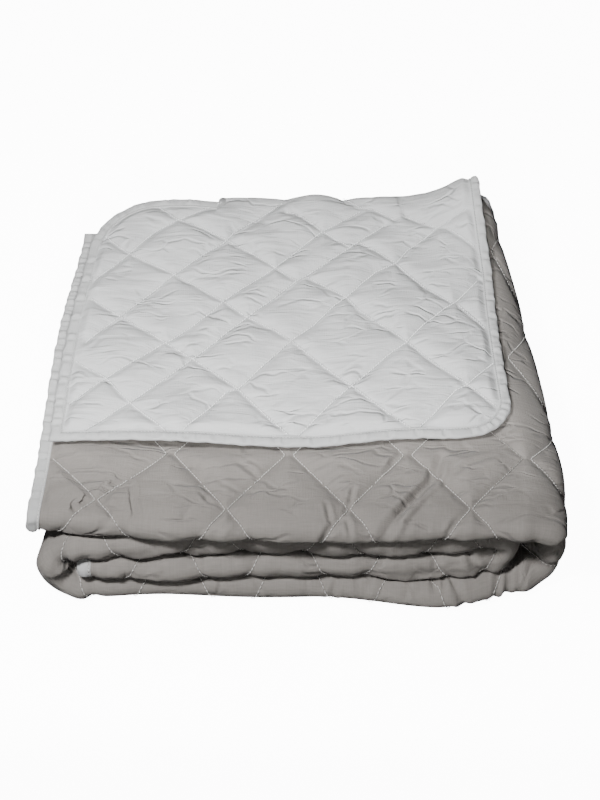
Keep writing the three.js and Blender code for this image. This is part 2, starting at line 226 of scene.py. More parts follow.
# Creases in the backing by run: places as (across the bundle, row from the front fold), depth and width
CREASE_DEPTH = 2.1
CREASE_REACH = 14.0
CREASE_LIP = 0.42
CREASE_LIP_AT = 2.4
CREASES = {
    "top": [
        ([(128, 92), (116, 57), (98, 34), (72, 4)], 4.2, 3.4),
        ([(123, 62), (86, 11)], -2.6, 2.8),
        ([(90, 100), (75, 74)], 2.0, 2.2),
        ([(44, 53), (37, 24)], 2.0, 2.0),
        ([(18, 32), (23, 13)], 1.5, 1.8),
        ([(32, 16), (15, 2)], 1.8, 2.0),
        ([(37, 16), (41, 4)], 1.5, 1.8),
        ([(1, 75), (24, 84)], 1.2, 2.2),
        ([(12, 56), (32, 68)], 1.2, 2.0),
        ([(131, 62), (151, 81), (178, 95)], 1.2, 2.4),
        ([(140, 15), (129, 3)], 1.8, 2.0),
        ([(-161, 56), (-159, 29), (-155, 16), (-157, 7)], 1.7, 1.8),
        ([(-192, 41), (-184, 45), (-176, 43)], 1.4, 1.7),
        ([(-178, 48), (-168, 53)], 1.0, 1.6),
        ([(-208, 20), (-198, 11)], 1.5, 2.0),
        ([(-98, 46), (-86, 32)], 1.4, 1.8),
        ([(-92, 38), (-76, 31)], 1.4, 1.6),
        ([(-66, 84), (-42, 64)], 1.2, 2.4),
        ([(-60, 24), (-84, 4)], 1.0, 2.2),
    ],
    "over": [
        ([(-168, -13), (-132, -6), (-106, -5)], 1.8, 2.2),
        ([(-150, -10), (-124, -12)], 1.2, 2.0),
        ([(74, -17), (84, -6)], 1.5, 2.0),
        ([(52, -15), (42, -6)], 1.2, 2.0),
    ],
    "inner": [
        ([(146, -22), (160, -4)], 2.2, 2.4),
        ([(152, -8), (174, 10)], 1.8, 2.2),
        ([(-174, -10), (-166, 6)], 1.2, 2.0),
    ],
    "under": [
        ([(125, -26), (122, -8)], 2.2, 2.2),
        ([(129, -25), (133, -8)], 2.0, 2.0),
        ([(133, -23), (155, 6)], 2.2, 2.4),
        ([(199, -23), (192, 6)], 2.4, 2.6),
        ([(188, -16), (180, 6)], 2.0, 2.4),
        ([(32, -12), (24, 3)], 1.4, 2.4),
        ([(66, -13), (57, -5)], 1.2, 2.2),
    ],
}

# Puckers at the front corners: the turn, how many and how high
PUCKERS = [("inner turn", 3.0, 1.0), ("over turn", 5.0, 2.4), ("under turn", 6.0, 2.2)]
PUCKER_WIDE = 34.0

# Waves: height, length one way, length the other way and phase
FLAP_WAVES = [(0.8, 170.0, 240.0, 0.4), (0.6, -120.0, 150.0, 2.1), (0.5, 90.0, -210.0, 4.0),
              (0.35, 64.0, 75.0, 1.2)]
FOLD_WAVES = [(0.6, 71.0, 400.0, 0.3), (0.5, 43.0, -300.0, 1.9), (0.35, 27.0, 200.0, 4.4),
              (0.25, 17.0, 90.0, 0.9)]
TAPE_WAVES = [(0.55, 9.1, 60.0, 0.2), (0.5, 13.7, -80.0, 2.0), (0.3, 6.7, 40.0, 3.7),
              (0.5, 31.0, 90.0, 1.1)]
EDGE_WAVES = [(0.3, 23.0, 1e6, 0.0), (0.25, 13.7, 1e6, 2.0), (0.25, 41.0, 1e6, 4.0)]

# The tape's section from its inner edge on one side, over the bound edge, to its inner edge on the other
TAPE_TOP = [(TAPE_WIDTH, 1.3), (12.75, 2.6), (12.2, 2.8), (STITCH_INSET, 1.5), (10.3, 2.7), (7.5, 3.0),
            (3.6, 2.9), (1.5, 2.3), (0.5, 1.5), (0.0, 0.4)]
TAPE_SECTION = TAPE_TOP + [(inset, -out) for inset, out in reversed(TAPE_TOP)]


def smooth(low, high, x):
    """Rises softly from 0 at low to 1 at high."""
    share = np.clip((x - low) / (high - low), 0.0, 1.0)
    return share * share * (3.0 - 2.0 * share)


def mix(low, high, share):
    """A value between two others."""
    return low + (high - low) * share


def unit(rows):
    """Directions scaled to a length of 1."""
    return rows / np.maximum(np.linalg.norm(rows, axis=1, keepdims=True), TINY)


def make_spine():
    """The runs of the strip and the half-circle turns between them, from the inner end."""
    spine = []
    start = 0.0
    for index, run in enumerate(RUNS):
        length = abs(run["to"] - run["from"])
        heading = math.copysign(1.0, run["to"] - run["from"])
        spine.append({"name": run["name"], "turn": False, "start": start, "length": length, "x": run["from"],
                      "z": run["z"], "heading": heading, "radius": 1.0, "rise": 0.0})
        start += length
        if index + 1 == len(RUNS):
            break
        rise = RUNS[index + 1]["z"] - run["z"]
        radius = abs(rise) / 2
        spine.append({"name": run["name"] + " turn", "turn": True, "start": start, "length": math.pi * radius,
                      "x": run["to"], "z": run["z"] + rise / 2, "heading": heading, "radius": radius,
                      "rise": math.copysign(1.0, rise)})
        start += math.pi * radius
    return spine


SPINE = make_spine()
PIECE = {piece["name"]: piece for piece in SPINE}
STRIP_END = SPINE[-1]["start"] + SPINE[-1]["length"]


def along_at(x):
    """Distance along the strip of a place on the top run."""
    return PIECE["top"]["start"] + PIECE["top"]["x"] - x


def x_at(along):
    """Place on the top run of a distance along the strip."""
    return PIECE["top"]["x"] + PIECE["top"]["start"] - along


def spine_at(along):
    """Place and outward direction of the strip, seen from the front."""
    ends = np.array([piece["start"] + piece["length"] for piece in SPINE])
    pick = np.clip(np.searchsorted(ends, along - 1e-6), 0, len(SPINE) - 1)
    column = {key: np.array([float(piece[key]) for piece in SPINE])[pick]
              for key in ("start", "x", "z", "heading", "radius", "rise", "turn")}
    gone = along - column["start"]
    angle = gone / column["radius"]
    turn = column["turn"] > 0.5
    nx = np.where(turn, column["heading"] * np.sin(angle), 0.0)
    nz = np.where(turn, -column["rise"] * np.cos(angle), -column["heading"])
    x = column["x"] + np.where(turn, column["radius"] * nx, column["heading"] * gone)
    z = column["z"] + np.where(turn, column["radius"] * nz, 0.0)
    return x, z, nx, nz


def mounds(table, x, y):
    """Sum of the soft mounds of a table at places on the plan."""
    total = np.zeros_like(x)
    for middle_x, middle_y, height, wide, deep in table:
        total += height * np.exp(-((x - middle_x) / wide) ** 2 - ((y - middle_y) / deep) ** 2)
    return total


def read_row(row, x):
    """A row of a table read between its five places."""
    column = np.clip(np.searchsorted(PLACES, x) - 1, 0, len(PLACES) - 2)
    values = np.array(row)
    share = smooth(PLACES[column], PLACES[column + 1], x)
    return mix(values[column], values[column + 1], share)


def front_set(x, z):
    """How far the front folds stand back."""
    rows = np.array([read_row(row, x) for row in FRONT_SET])
    level = np.clip(np.searchsorted(FRONT_LEVELS, z) - 1, 0, len(FRONT_LEVELS) - 2)
    pick = np.arange(len(x))
    share = smooth(FRONT_LEVELS[level], FRONT_LEVELS[level + 1], z)
    return mix(rows[level, pick], rows[level + 1, pick], share)


def lean(x, y, outer_end):
    """How far the sides lean out at the front and in at the back."""
    back = smooth(FRONT_Y, BACK_Y, y)
    right_front = LEAN["right_front"] * smooth(RIGHT_SIDE, 250.0, x)
    right_back = LEAN["right_back"] * smooth(60.0, 240.0, x)
    tip = LEAN["right_tip"] * smooth(90.0, BACK_Y, y) * smooth(100.0, 230.0, x)
    end = outer_end * mix(LEAN["end_front"], LEAN["end_back"], back)
    left = mix(LEAN["left_front"], LEAN["left_back"], back) + end
    return mix(right_front, right_back, back) + tip + left * smooth(130.0, 245.0, -x)


def settle(x, y, z):
    """Bends the even bundle into the uneven one."""
    front = 1.0 - smooth(FRONT_Y, -60.0, y)
    sides = smooth(150.0, 240.0, np.abs(x))
    raised = smooth(LIFT_FROM, LIFT_FULL, z)
    high = z * (1.0 + LAYER_SWELL * np.sin(x / 58.0) * np.cos(y / 71.0)) + raised * mounds(LIFTS, x, y)
    outer_end = smooth(*END_LOW, z) * (1.0 - smooth(*END_HIGH, z))
    tuck = END_TUCK * outer_end * smooth(110.0, 240.0, -x) * smooth(0.0, BACK_Y, y)
    along = y - tuck + front * (front_set(x, z) + FRONT_WAVE * np.sin(x / 43.0 + z / 19.0))
    squash = RIGHT_SQUASH * np.maximum(0.0, x - RIGHT_SIDE)
    across = x - squash + SIDE_WAVE * sides * np.sin(y / 66.0 + z / 24.0) + lean(x, y, outer_end)
    return np.stack([across - CENTRE_X, along - CENTRE_Y, np.maximum(high, 0.0)], axis=1) * MM


def strip_place(along, across, out):
    """A point of the strip: along it, across it from the front fold, out from its middle surface."""
    x, z, nx, nz = spine_at(along)
    reach = FOLD_RADIUS + out
    turned = np.clip(across, -HALF_ARC, HALF_ARC) / FOLD_RADIUS
    leg = np.maximum(0.0, np.abs(across) - HALF_ARC)
    y = FRONT_Y + FOLD_RADIUS - reach * np.cos(turned) + leg
    normal = reach * np.sin(turned)
    return x + normal * nx, y, z + normal * nz


def flap_place(along, across, out):
    """A point of the turned-back end and of the fold that joins it to the top run."""
    x = x_at(along)
    reach = FLAP_FOLD_RADIUS - out
    turned = np.clip(across - EDGE, 0.0, FLAP_ARC) / FLAP_FOLD_RADIUS
    leg = np.maximum(0.0, across - FLAP_START)
    y = BACK_Y + reach * np.sin(turned) - leg + read_row(FLAP_SET, x) * smooth(0.2, 1.0, leg / FLAP_DEPTH)
    z = PIECE["top"]["z"] + FOLD_RADIUS + FLAP_FOLD_RADIUS - reach * np.cos(turned)
    return x, y, z + smooth(0.0, FLAP_ARC, across - EDGE) * mounds(FLAP_LIFTS, x, y)


def folded(along, across, out):
    """Where points of the flat cloth lie in the folded bundle, in metres."""
    strip = strip_place(along, np.minimum(across, EDGE), out)
    flap = flap_place(along, across, out)
    on_flap = across > EDGE
    return settle(*[np.where(on_flap, high, low) for low, high in zip(strip, flap)])


def zigzag(b, diamond):
    """How far a row of zigzag stitching stands from its corner line, with slightly rounded points."""
    share = np.abs(((b / (diamond * DEEP) + 0.5) % 1.0) - 0.5) * 2.0
    share = share + 0.016 * (np.exp(-share / 0.03) - np.exp(-(1.0 - share) / 0.03))
    return UPPER_GAP + (diamond / 2 - UPPER_GAP - LOWER_GAP) * share


def segment_distance(p, q, start, end):
    """Distance to a straight line between two places, and the share of it gone by."""
    step_p, step_q = end[0] - start[0], end[1] - start[1]
    length = step_p * step_p + step_q * step_q
    share = np.clip(((p - start[0]) * step_p + (q - start[1]) * step_q) / length, 0.0, 1.0)
    return np.hypot(p - start[0] - share * step_p, q - start[1] - share * step_q), share


def stitch_distance(along, across, diamond):
    """Distance to the nearest row of quilting."""
    place = (along - along_at(NODE_X)) % diamond
    line = zigzag(across - NODE_ROW, diamond)
    rows = [line, diamond - line, line + diamond, -line]
    strip = np.min([np.abs(place - row) for row in rows], axis=0) * DEEP / math.hypot(1.0, DEEP)
    flap = np.full_like(along, FAR)
    near = across > EDGE - JOIN_BLEND
    x, deep = x_at(along[near]), across[near] - FLAP_START
    for row in FLAP_ROWS:
        for start, end in zip(row, row[1:]):
            flap[near] = np.minimum(flap[near], segment_distance(x, deep, start, end)[0])
    return mix(strip, flap, smooth(EDGE - JOIN_BLEND, EDGE + JOIN_BLEND, across))


def round_corner(distance, p, q, radius):
    """Distance to a rounded edge: p and q are how far a place is past the middle of the round."""
    return np.where((p > 0.0) & (q > 0.0), np.minimum(distance, radius - np.hypot(p, q)), distance)


def edge_distance(along, across):
    """Distance to the nearest bound edge."""
    x = x_at(along)
    strip = np.minimum(np.minimum(along, STRIP_END - along), EDGE + across)
    joined = (x > JOIN_LEFT) & (x < FLAP_RIGHT)
    strip = np.where(joined, strip, np.minimum(strip, EDGE - across))
    flap = np.minimum(np.minimum(x - FLAP_LEFT, FLAP_RIGHT - x), FLAP_END - across)
    flap = np.minimum(flap, np.where(x > JOIN_LEFT, FAR, across - FLAP_START))
    left = FLAP_LEFT + BACK_SHIFT + BACK_LEFT_ROUND - x
    flap = round_corner(flap, left, FLAP_START + BACK_LEFT_ROUND - across, BACK_LEFT_ROUND)
    right = x - FLAP_RIGHT + FRONT_RIGHT_ROUND
    flap = round_corner(flap, right, across - FLAP_END + FRONT_RIGHT_ROUND, FRONT_RIGHT_ROUND)
    return np.where(across > EDGE, flap, strip)


def waves(p, q, table):
    """Sum of sine waves: each row of the table has a height, two lengths and a phase."""
    total = np.zeros_like(p)
    for height, long_p, long_q, phase in table:
        total += height * np.sin(2 * math.pi * (p / long_p + q / long_q) + phase)
    return total


def noise(p, q, size_p, size_q, seed):
    """Soft chance values from -1 to 1 over patches of the given size."""
    table = np.random.default_rng(seed).uniform(-1.0, 1.0, (PATCHES, PATCHES))
    u, v = p / size_p, q / size_q
    i, j = np.floor(u).astype(int), np.floor(v).astype(int)
    share_u, share_v = smooth(0.0, 1.0, u - i), smooth(0.0, 1.0, v - j)
    i, j, after_i, after_j = (place % PATCHES for place in (i, j, i + 1, j + 1))
    low = mix(table[i, j], table[after_i, j], share_u)
    high = mix(table[i, after_j], table[after_i, after_j], share_u)
    return mix(low, high, share_v)


def ridges(p, q, size_p, size_q, seed):
    """Thin wandering wrinkle lines, long one way and close together the other."""
    bend = 9.0 * noise(p, q, 48.0, 30.0, seed + 1)
    line = 1.0 - np.abs(noise(p, q + bend, size_p, size_q, seed))
    return line ** 5


def crinkles(p, q):
    """Fine wrinkles that run along the cloth and come and go."""
    strength = 0.55 + 0.6 * noise(p, q, 46.0, 40.0, 5)
    small = 0.75 * ridges(p, q, 52.0, 9.0, 11) + 0.55 * ridges(p, q, 34.0, 6.0, 21)
    large = 0.8 * ridges(p, q, 70.0, 19.0, 31)
    return np.maximum(strength, 0.1) * (0.55 - small) - 0.5 * large


def dents(p, q):
    """Soft uneven dents where the filling has shifted."""
    return 0.9 * noise(p, q, 31.0, 23.0, 41) + 0.7 * noise(p + q, q - p, 24.0, 17.0, 43)


def crease_height(along, across):
    """The listed creases in the backing: grooves with a low lip on both sides."""
    total = np.zeros_like(along)
    for run, (path, depth, wide) in [(run, crease) for run in CREASES for crease in CREASES[run]]:
        piece = PIECE[run]
        places = [(piece["start"] + abs(x - piece["x"]), row) for x, row in path]
        low, high = np.min(places, axis=0) - CREASE_REACH, np.max(places, axis=0) + CREASE_REACH
        near = (along > low[0]) & (along < high[0]) & (across > low[1]) & (across < high[1])
        best = np.full(np.count_nonzero(near), FAR)
        gone = np.zeros_like(best)
        for leg, (start, end) in enumerate(zip(places, places[1:])):
            away, share = segment_distance(along[near], across[near], start, end)
            gone = np.where(away < best, (leg + share) / (len(places) - 1), gone)
            best = np.minimum(away, best)
        reach = best / wide
        trough = np.exp(-reach) - CREASE_LIP * np.exp(-((reach - CREASE_LIP_AT) ** 2))
        total[near] -= CREASE_DEPTH * depth * np.sin(math.pi * (0.1 + 0.8 * gone)) * trough
    return total


def near_fold(across, wide):
    """Is 1 on the front fold and fades away from it."""
    return np.exp(-((across / wide) ** 2))


def crumple(along, across):
    """Puckers that spread from the front corners where the strip turns."""
    total = np.zeros_like(along)
    for name, count, height in PUCKERS:
        piece = PIECE[name]
        share = (along - piece["start"]) / piece["length"]
        inside = smooth(-0.25, 0.1, share) * (1.0 - smooth(0.9, 1.25, share))
        ripple = np.sin(math.pi * count * share + 0.9 * np.sin(5.0 * share + across / 30.0))
        total += height * inside * ripple * near_fold(across, PUCKER_WIDE)
    return total


def free_share(along, across, backing):
    """Rises to 1 where a cloth lies on top with nothing over it."""
    if not backing:
        return smooth(EDGE, EDGE + 40.0, across)
    past_fold = smooth(*FREE_FROM, across) * (1.0 - smooth(*FREE_TO, across))
    return smooth(-20.0, 30.0, along - PIECE["top"]["start"]) * past_fold


def puff_height(along, across, backing):
    """How high the middle of a diamond stands: most where the cloth lies free."""
    free = free_share(along, across, backing)
    if not backing:
        return mix(INNER_PUFF, FACE_PUFF, free)
    turn = PIECE["under turn"]
    gone = along - turn["start"]
    side = smooth(0.0, 25.0, gone) * (1.0 - smooth(0.0, 25.0, gone - turn["length"]))
    pressed = mix(PRESSED_PUFF, BACKING_PUFF, near_fold(across, FOLD_WIDE))
    return np.maximum(mix(pressed, SIDE_PUFF, side), mix(pressed, FREE_PUFF, free))


def floor_share(along, across):
    """Rises to 1 where the backing lies on the floor."""
    under = PIECE["under"]
    gone = along - under["start"]
    return smooth(0.0, 30.0, gone) * smooth(0.0, 30.0, under["length"] - gone) * smooth(-9.0, 5.0, across)


def quilted_height(along, across, backing, diamond):
    """The height of a quilted cloth: its diamonds, wrinkles, dents and the puckers beside its stitches."""
    away = np.maximum(0.0, stitch_distance(along, across, diamond) - GROOVE)
    rest = 1.0 - np.clip(away / (diamond / 2 * math.sqrt(0.5) - GROOVE), 0.0, 1.0)
    puff = mix(1.0 - rest ** 8, 1.0 - rest ** 2, ROUNDNESS)
    most = puff_height(along, across, backing) - THIN
    height = HALF_WADDING + THIN + most * puff * (0.92 + 0.12 * noise(along, across, 70.0, 70.0, 3))
    crinkle = BACKING_CRINKLE if backing else FACE_CRINKLE
    height += crinkles(along, across) * smooth(0.0, 8.0, away) * crinkle
    height += dents(along, across) * smooth(0.0, 12.0, away) * free_share(along, across, backing)
    phase = along / 6.1 + across / 7.3 + 1.6 * noise(along, across, 14.0, 14.0, 8)
    pucker = np.sin(2 * math.pi * phase) * np.exp(-away / 4.0) * smooth(0.0, 1.6, away)
    return height + pucker * (BACKING_PUCKER if backing else FACE_PUCKER)


def cloth_height(along, across, backing, diamond):
    """How far the outside of a cloth stands from the middle surface of the quilt."""
    height = quilted_height(along, across, backing, diamond)
    if backing:
        height += FOLD_WAVE * near_fold(across, FOLD_WIDE) * waves(along, across, FOLD_WAVES)
        height = mix(height, HALF_WADDING + FULL, floor_share(along, across))
        height += crease_height(along, across) + crumple(along, across)
    else:
        height -= np.where(across > EDGE, waves(along, across, FLAP_WAVES), 0.0) * FLAP_WAVE
    rim = smooth(TAPE_WIDTH - TAPE_CLEAR, TAPE_WIDTH + RIM, edge_distance(along, across))
    return mix(HALF_WADDING + THIN, np.maximum(height, LEAST), rim)


def steps(low, high, size):
    """Even places from low to high, about size apart."""
    return np.linspace(low, high, max(2, int(round(abs(high - low) / size)) + 1))


def graded(stops, sizes):
    """Places from stop to stop, each stretch with its own even spacing."""
    parts = [steps(low, high, size)[:-1] for low, high, size in zip(stops, stops[1:], sizes)]
    return np.concatenate([*parts, stops[-1:]])


def strip_columns(sizes, top):
    """Grid places along the strip: sizes name the spacing on each run and turn before the top run."""
    joined = [along_at(FLAP_RIGHT - TUCK), along_at(JOIN_LEFT + TUCK)]
    stops = [TUCK, *(piece["start"] for piece in SPINE[1:]), *joined, STRIP_END - TUCK]
    return graded(stops, [*(sizes[piece["name"]] for piece in SPINE[:-1]), top, top, top])


def flap_side(left, across):
    """Where the cloth of the turned-back end stops at a side, with its corner rounded."""
    radius = (BACK_LEFT_ROUND if left else FRONT_RIGHT_ROUND) - TUCK
    deep = across - FLAP_START - TUCK if left else FLAP_END - TUCK - across
    rest = np.clip(radius - deep, 0.0, radius)
    cut = TUCK + radius - np.sqrt(radius * radius - rest * rest)
    if left:
        return FLAP_LEFT + cut + BACK_SHIFT * (FLAP_END - across) / FLAP_DEPTH
    return FLAP_RIGHT - cut


def flap_column(x, across):
    """Moves a column of the turned-back end so that the outer ones follow its rounded sides."""
    keep_left = JOIN_LEFT + TUCK
    keep_right = FLAP_RIGHT - TUCK - ROUND_COLUMNS
    left_share = np.clip((keep_left - x) / (keep_left - FLAP_LEFT - TUCK), 0.0, 1.0)
    right_share = np.clip((x - keep_right) / (FLAP_RIGHT - TUCK - keep_right), 0.0, 1.0)
    moved = mix(x, mix(keep_left, flap_side(True, across), left_share), x < keep_left)
    return mix(moved, mix(keep_right, flap_side(False, across), right_share), x > keep_right)


def add_grid(bm, columns, rows, rounded=False):
    """Adds one flat grid of cloth at the given places."""
    made = bmesh.ops.create_grid(bm, x_segments=len(columns) - 1, y_segments=len(rows) - 1, size=1.0)["verts"]
    for vert in made:
        along = columns[round((vert.co.x + 1) / 2 * (len(columns) - 1))]
        across = rows[round((vert.co.y + 1) / 2 * (len(rows) - 1))]
        if rounded:
            along = along_at(flap_column(x_at(along), across))
        vert.co = (along, across, 0.0)


def split_row(bm, row, places):
    """Gives the open edges on a row a corner at every place, so that two bands can be sewn together."""
    on_row = [edge for edge in bm.edges
              if edge.is_boundary and all(abs(vert.co.y - row) < WELD for vert in edge.verts)]
    for edge in on_row:
        start, end = sorted(edge.verts, key=lambda vert: vert.co.x)
        for place in places[(places > start.co.x + WELD) & (places < end.co.x - WELD)]:
            share = (place - start.co.x) / (end.co.x - start.co.x)
            made, corner = bmesh.utils.edge_split(edge, start, share)
            corner.co = (place, row, 0.0)
            edge = made if end in made.verts else edge
            start = corner


def flat_cloth(bands, flap_rows):
    """The cut cloth lying flat: bands of the strip, the joining fold and the turned-back end."""
    bm = bmesh.new()
    columns = bands[-1][0]
    flap = columns[columns >= along_at(FLAP_RIGHT - TUCK) - WELD]
    joined = flap[flap <= along_at(JOIN_LEFT + TUCK) + WELD]
    join_rows = graded([EDGE - TUCK, EDGE, FLAP_START, FLAP_START + TUCK], [TUCK, JOIN_STEP, TUCK])
    for band_columns, band_rows in bands:
        add_grid(bm, band_columns, band_rows)
    add_grid(bm, joined, join_rows)
    add_grid(bm, flap, flap_rows, rounded=True)
    for near, far in zip(bands, bands[1:]):
        split_row(bm, far[1][0], np.union1d(near[0], far[0]))
    bmesh.ops.remove_doubles(bm, verts=bm.verts, dist=WELD)
    return bm


def fold_cloth(bm, backing, diamond):
    """Folds flat cloth into the bundle and keeps its flat places as a UV map."""
    uv = bm.loops.layers.uv.new("flat")
    for face in bm.faces:
        for loop in face.loops:
            loop[uv].uv = (loop.vert.co.x * MM, loop.vert.co.y * MM)
        face.smooth = True
    flat = np.array([vert.co[:2] for vert in bm.verts])
    along, across = flat[:, 0], flat[:, 1]
    height = cloth_height(along, across, backing, diamond)
    places = folded(along, across, height if backing else -height)
    for vert, place in zip(bm.verts, places):
        vert.co = place
    if backing:
        bmesh.ops.reverse_faces(bm, faces=bm.faces)


def add_object(name, data):
    """Puts a mesh, a lamp or a camera in the scene."""
    made = bpy.data.objects.new(name, data)
    bpy.context.scene.collection.objects.link(made)
    return made


def to_mesh(name, bm):
    """Makes a mesh of a finished bmesh."""
    mesh = bpy.data.meshes.new(name)
    bm.to_mesh(mesh)
    bm.free()
    return mesh


def finish_piece(name, mesh, material):
    """Gives a finished mesh its material and lets it ride on the bundle."""
    mesh.materials.append(material)
    piece = add_object(name, mesh)
    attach(piece, "root")
    return piece


def corner_arc(x, across, radius):
    """A quarter circle of the bound edge, which turns the other way where its radius is below zero."""
    return [(along_at(x + radius * math.sin(angle)), across - radius * (1 - math.cos(angle)))
            for angle in np.linspace(0.0, math.pi / 2, ROUND_STEPS)]


def outline_places():
    """The corners of the bound edge, with places between them on its straight legs."""
    back_arc = corner_arc(FLAP_LEFT + BACK_SHIFT + BACK_LEFT_ROUND, FLAP_START, -BACK_LEFT_ROUND)
    front_arc = corner_arc(FLAP_RIGHT - FRONT_RIGHT_ROUND, FLAP_END, FRONT_RIGHT_ROUND)
    join = along_at(JOIN_LEFT)
    shown = [(STRIP_END, -EDGE), (STRIP_END, EDGE), (join, EDGE), (join, FLAP_START), back_arc[0]]
    front = [back_arc[-1], (along_at(FLAP_LEFT), FLAP_END), front_arc[0]]
    right = [front_arc[-1], (along_at(FLAP_RIGHT), EDGE)]
    hidden = [(along_at(FLAP_RIGHT), EDGE), (0.0, EDGE), (0.0, -EDGE), (STRIP_END, -EDGE)]
    return [*leg_places(shown, TAPE_STEP), *back_arc[:-1], *leg_places(front, TAPE_STEP), *front_arc[:-1],
            *leg_places(right, TAPE_STEP), *leg_places(hidden, TAPE_HIDDEN_STEP)]


def leg_places(corners, size):
    """Places about size apart on straight legs from corner to corner, without the last corner."""
    found = []
    for start, end in zip(np.array(corners), np.array(corners[1:])):
        length = float(np.linalg.norm(end - start))
        inset = 13.0 if length > 40.0 else 0.25 * length
        places = np.concatenate([[0.0], steps(inset, length - inset, size)])
        found.extend(tuple(start + (end - start) * place / length) for place in places)
    return found


def outline_path():
    """The bound edge once round: its places, the way inwards, longer at a corner, and the distance gone."""
    path = np.array(outline_places())
    into = unit(path - np.roll(path, 1, axis=0))
    away = unit(np.roll(path, -1, axis=0) - path)
    normal = unit(np.stack([-into[:, 1] - away[:, 1], into[:, 0] + away[:, 0]], axis=1))
    straight = np.stack([-into[:, 1], into[:, 0]], axis=1)
    mitre = 1.0 / np.maximum(0.5, np.sum(normal * straight, axis=1))
    gone = np.concatenate([[0.0], np.cumsum(np.linalg.norm(np.diff(path, axis=0), axis=1))])
    return path, normal * mitre[:, None], gone


def tape_out(gone, inset, out):
    """The tape's height with the puckers that its sewing draws up."""
    pull = TAPE_PULL * smooth(0.3, 3.0, inset) * (1.0 - smooth(9.0, STITCH_INSET, inset))
    return out + np.sign(out) * pull * (waves(gone, inset, TAPE_WAVES) - 0.1)


def edge_wave(gone, inset):
    """How far the bound edge wavers inwards."""
    free = 1.0 - smooth(0.0, 9.0, inset)
    return (free * (waves(gone, gone, EDGE_WAVES) + EDGE_PULL))[:, None]


LENGTH = {"unit": "LENGTH", "subtype": "DISTANCE"}
COLOUR = {"subtype": "COLOR", "size": 4, "min": 0.0, "max": 1.0}


class BedspreadSettings(PropertyGroup):
    """Sizes and colours of the bedspread."""

    diamond: FloatProperty(name="Diamond", description="From corner to corner of a quilted diamond",
                           default=0.113, min=0.05, max=0.3, **LENGTH)
    stitch: FloatProperty(name="Stitch", description="Length of one stitch and the space after it",
                          default=0.0033, min=0.0015, max=0.01, **LENGTH)
    thread: FloatProperty(name="Thread", description="Width of the sewing thread",
                          default=0.0009, min=0.0002, max=0.003, **LENGTH)
    face_colour: FloatVectorProperty(name="Face", description="Colour of the light face cloth",
                                     default=(0.50, 0.505, 0.505, 1.0), **COLOUR)
    backing_colour: FloatVectorProperty(name="Backing", description="Colour of the taupe backing cloth",
                                        default=(0.205, 0.191, 0.177, 1.0), **COLOUR)
    # The binding is the face's light grey; its colour is set darker, partly as painted shade for the tape's
    # edges that slope away from the light
    tape_colour_and_shade: FloatVectorProperty(name="Binding", description="Colour of the binding tape",
                                     default=(0.43, 0.434, 0.432, 1.0), **COLOUR)
    thread_colour: FloatVectorProperty(name="Thread colour", description="Colour of the sewing thread",
                                       default=(0.62, 0.61, 0.59, 1.0), **COLOUR)


def set_inputs(tree, node, inputs):
    """Gives the inputs of a shader node their values, or links them to other nodes."""
    for name, value in inputs.items():
        if isinstance(value, bpy.types.NodeSocket):
            tree.links.new(value, node.inputs[name])
        else:
            node.inputs[name].default_value = value


def add_node(tree, kind, inputs, output=0, **modes):
    """Adds a shader node with its modes and inputs, and gives back one of its outputs."""
    node = tree.nodes.new("ShaderNode" + kind)
    for name, value in modes.items():
        setattr(node, name, value)
    set_inputs(tree, node, inputs)
    return node.outputs[output]


def stretched(tree, place, scale):
    """A place on the cloth with its two directions scaled."""
    return add_node(tree, "Mapping", {"Vector": place, "Scale": (*scale, 1.0)})


def weave_group():
    """A woven cloth: slubs along both threads, as a tint and as a height with wrinkles."""
    group = bpy.data.node_groups.get("Woven Cloth")
    if group:
        return group
    group = bpy.data.node_groups.new("Woven Cloth", "ShaderNodeTree")
    for side, names in (("INPUT", ("Slub", "Wrinkle", "Crumple")), ("OUTPUT", ("Tint", "Height"))):
        for name in names:
            group.interface.new_socket(name=name, in_out=side, socket_type="NodeSocketFloat")
    given = group.nodes.new("NodeGroupInput").outputs
    place = add_node(group, "UVMap", {}, uv_map="flat")
    threads = []
    for scale in ((60.0, 1100.0), (1100.0, 60.0)):
        slub = {"Vector": stretched(group, place, scale), "Scale": 1.0, "Detail": 3.0, "Roughness": 0.6}
        threads.append(add_node(group, "TexNoise", slub, "Fac"))
    both = add_node(group, "Math", {0: threads[0], 1: threads[1]}, operation="ADD")
    centred = add_node(group, "Math", {0: both, 1: 1.0}, operation="SUBTRACT")
    tint = add_node(group, "Math", {0: centred, 1: given["Slub"], 2: 1.0}, operation="MULTIPLY_ADD")
    soft = {"Vector": stretched(group, place, (20.0, 95.0)), "Scale": 1.0, "Detail": 2.5, "Distortion": 0.7}
    wrinkle = add_node(group, "TexNoise", soft, "Fac")
    height = add_node(group, "Math", {0: wrinkle, 1: given["Wrinkle"], 2: both}, operation="MULTIPLY_ADD")
    lines = crumple_lines(group, place)
    crumpled = add_node(group, "Math", {0: lines, 1: given["Crumple"], 2: height}, operation="MULTIPLY_ADD")
    set_inputs(group, group.nodes.new("NodeGroupOutput"), {"Tint": tint, "Height": crumpled})
    return group


